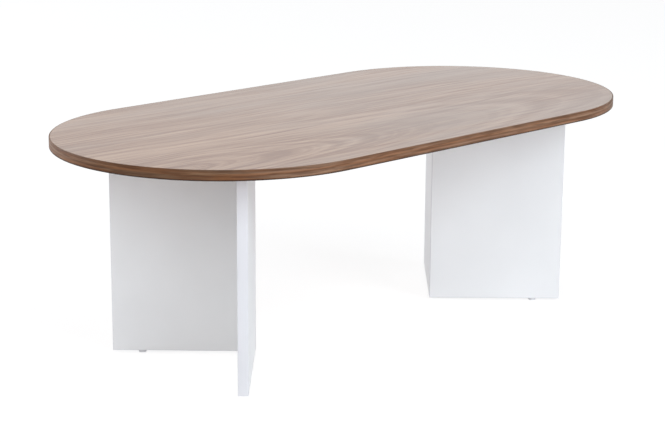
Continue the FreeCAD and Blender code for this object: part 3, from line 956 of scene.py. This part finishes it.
walnut = walnut_figure()
melamine = melamine_skin()
plating = metal_skin()
finishes = {
    "walnut_decor_board": wood_finish(
        "walnut decor board", walnut, object_place, heart=(0.75, 0.2, 1.7), scale=(1, 1, 1),
        colours=(srgb(147, 104, 78), srgb(202, 159, 125), srgb(164, 144, 132), srgb(108, 80, 62)),
        roughness=0.2),
    "walnut_edging": wood_finish(
        "walnut edging", walnut, strip_place, heart=(3, 0.2, 0), scale=(5, 3.4, 1),
        colours=(srgb(98, 71, 52), srgb(132, 104, 80), srgb(120, 100, 83), srgb(64, 38, 22)),
        roughness=0.5, gloss=0.15, trim=strip_trim),
    "beech_dowel": wood_finish(
        "beech dowel", walnut, object_place, heart=(0, 0, 0), scale=(1, 1, 1),
        colours=(srgb(196, 160, 118), srgb(222, 190, 148), srgb(214, 184, 146), srgb(170, 128, 88)),
        roughness=0.6),
    "white_board": white_finish(
        "white melamine board", melamine, srgb(241, 242, 243), srgb(237, 238, 239),
        roughness=0.5, gloss=0.25),
    "white_edging": white_finish(
        "white edging", melamine, srgb(227, 227, 231), srgb(223, 223, 227), roughness=0.45, gloss=0.3),
    "white_cap": white_finish(
        "white cap", melamine, srgb(236, 236, 236), srgb(230, 230, 229), roughness=0.42),
    "grey_nylon": white_finish(
        "grey nylon", melamine, srgb(228, 228, 230), srgb(219, 219, 222), roughness=0.5),
    "zinc_cam_lock": metal_finish(
        "zinc cam lock", plating, srgb(188, 190, 193), srgb(150, 152, 156), roughness=0.38),
    "plated_steel": metal_finish(
        "plated steel", plating, srgb(200, 202, 205), srgb(160, 163, 167), roughness=0.28),
    "brass_insert": metal_finish(
        "brass insert", plating, srgb(212, 178, 104), srgb(168, 132, 70), roughness=0.32),
}
for row in frame["record"]["subparts"]:
    cad[row["node"]].material_slots[0].material = finishes[row["material_slot"]]


# Pieces


def finish_piece(name, shape, body, slot, replaced):
    """Turn a bmesh into a named piece that rides a body in place of CAD nodes."""
    mesh = bpy.data.meshes.new(name)
    shape.to_mesh(mesh)
    shape.free()
    mesh.materials.append(finishes[slot])
    piece = bpy.data.objects.new(name, mesh)
    bpy.context.scene.collection.objects.link(piece)
    mesh.polygons.foreach_set("use_smooth", [True] * len(mesh.polygons))
    mesh.set_sharp_from_angle(angle=SMOOTH_ANGLE)
    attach(piece, body)
    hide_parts(*replaced)


def finish_base(side):
    """The rounded strips, caps and joint fittings of one base."""
    for place, strip in panel_strips().items():
        bmesh.ops.transform(strip, matrix=base_place(side), verts=strip.verts)
        finish_piece(f"{side}_{place}_rounded_strip", strip, "table", "white_edging",
                     [f"{side}_{place}_edging"])
    caps = set_of(side, cover_cap, CAM_PLACES["corner"] + CAM_PLACES["top"])
    finish_piece(f"{side}_domed_caps", caps, "table", "white_cap", [f"{side}_cam_cover_caps"])
    for joint in ("corner", "top"):
        for make, name, one, places, turn, slot in (
                ("cast", "cam_locks", cam_lock, CAM_PLACES, Matrix(), "zinc_cam_lock"),
                ("cast", "cam_bolts", cam_bolt, CAM_PLACES, UPRIGHT_TO_JOINT, "plated_steel"),
                ("turned", "dowels", dowel, DOWEL_PLACES, UPRIGHT_TO_JOINT, "beech_dowel")):
            fittings = set_of(side, one, places[joint], turn)
            finish_piece(f"{side}_{joint}_{make}_{name}", fittings, "table", slot,
                         [f"{side}_{joint}_{name}"])


def finish_foot(corner, centre):
    """The glide and the stud of one foot."""
    finish_piece("nylon_glide_" + corner, glide(centre), "glide_" + corner, "grey_nylon",
                 ["foot_glide_" + corner])
    finish_piece("threaded_stud_" + corner, stud(centre), "stud_" + corner, "plated_steel",
                 ["foot_stud_" + corner])


def finish_inserts(side, feet):
    """The inserts of the two feet of one base."""
    inserts = bmesh.new()
    for corner, centre in feet.items():
        if corner.endswith(side):
            join_into(inserts, insert(centre))
    finish_piece(side + "_barbed_inserts", inserts, "table", "brass_insert", [side + "_foot_inserts"])


finish_piece("walnut_top_board", top_board(top_bores()), "table", "walnut_decor_board", ["table_top_board"])
finish_piece("walnut_top_edging", top_edging(), "table", "walnut_edging", ["table_top_edging"])
for side in ("left", "right"):
    finish_base(side)
stud_turns = [joint for joint in frame["joints"] if joint["name"].startswith("stud_turn_")]
feet = {joint["name"].removeprefix("stud_turn_"): joint["pos_m"][:2] for joint in stud_turns}
for corner, centre in feet.items():
    finish_foot(corner, centre)
for side in ("left", "right"):
    finish_inserts(side, feet)


# Floor, light and camera


def seen_directly(tree):
    """1 for rays from the camera and mirrored or see-through rays, 0 for the light that falls on pieces."""
    rays = put(tree, "LightPath").outputs
    seen = plus(tree, rays["Is Camera Ray"], rays["Is Glossy Ray"])
    seen = plus(tree, seen, rays["Is Transmission Ray"])
    return worked(tree, "MINIMUM", seen, 1.0)


def pale_floor():
    """A wide white floor that shows the table's shadow softly."""
    shape = bmesh.new()
    bmesh.ops.create_grid(shape, x_segments=2, y_segments=2, size=FLOOR_HALF)
    mesh = bpy.data.meshes.new("studio_floor")
    shape.to_mesh(mesh)
    shape.free()
    floor = bpy.data.objects.new("studio_floor", mesh)
    bpy.context.scene.collection.objects.link(floor)
    material = bpy.data.materials.new("pale floor")
    material.use_nodes = True
    tree = material.node_tree
    tree.nodes.clear()
    bounce = put(tree, "BsdfDiffuse", {"Color": grey_of(FLOOR_BOUNCE)})
    shadow = put(tree, "BsdfDiffuse", {"Color": grey_of(FLOOR_WHITE)})
    glow = put(tree, "Emission", {"Color": WHITE, "Strength": FLOOR_GLOW})
    seen = put(tree, "AddShader", {0: shadow.outputs[0], 1: glow.outputs[0]})
    chosen = put(tree, "MixShader", {0: seen_directly(tree), 1: bounce.outputs[0], 2: seen.outputs[0]})
    put(tree, "OutputMaterial", {"Surface": chosen.outputs[0]})
    mesh.materials.append(material)


def white_sky():
    """An even white surround, which lights the table less than it shows."""
    world = bpy.data.worlds.new("white studio")
    world.use_nodes = True
    bpy.context.scene.world = world
    tree = world.node_tree
    tree.nodes.clear()
    light = put(tree, "Background", {"Color": SKY_COLOUR, "Strength": SKY_LEVEL})
    backdrop = put(tree, "Background", {"Color": WHITE, "Strength": 1.0})
    chosen = put(tree, "MixShader", {0: seen_directly(tree), 1: light.outputs[0], 2: backdrop.outputs[0]})
    put(tree, "OutputWorld", {"Surface": chosen.outputs[0]})


def softbox(name, place, size, watts, colour=(1, 1, 1)):
    """A large square lamp that looks at the table."""
    lamp = bpy.data.lights.new(name, "AREA")
    lamp.shape = "SQUARE"
    lamp.size = size
    lamp.energy = watts
    lamp.color = colour
    holder = bpy.data.objects.new(name, lamp)
    bpy.context.scene.collection.objects.link(holder)
    holder.location = place
    holder.rotation_euler = (LAMP_TARGET - Vector(place)).to_track_quat("-Z", "Y").to_euler()


def photo_camera():
    """The camera that took the view: its place, its tilt, roll and heading in degrees, and its lens."""
    camera = bpy.data.cameras.new("photo camera")
    camera.sensor_fit = "HORIZONTAL"
    camera.sensor_width = CAMERA_SENSOR
    camera.lens = CAMERA_LENS
    camera.clip_end = CAMERA_REACH
    holder = bpy.data.objects.new("photo camera", camera)
    bpy.context.scene.collection.objects.link(holder)
    holder.location = CAMERA_PLACE
    holder.rotation_euler = [math.radians(angle) for angle in CAMERA_TURN]
    bpy.context.scene.camera = holder


pale_floor()
white_sky()
softbox("front softbox", place=(0.8, -5.5, 2.8), size=3.5, watts=185, colour=(0.88, 0.945, 1.0))
softbox("low front softbox", place=(-1.5, -6.0, 0.9), size=3.0, watts=64, colour=(0.92, 0.945, 1.0))
softbox("left softbox", place=(-6.4, -2.8, 4.0), size=5.0, watts=183)
softbox("rear softbox", place=(-3.0, 8.4, 2.4), size=6.0, watts=312, colour=(0.94, 0.96, 1.0))
photo_camera()
bpy.context.scene.view_settings.view_transform = "Standard"
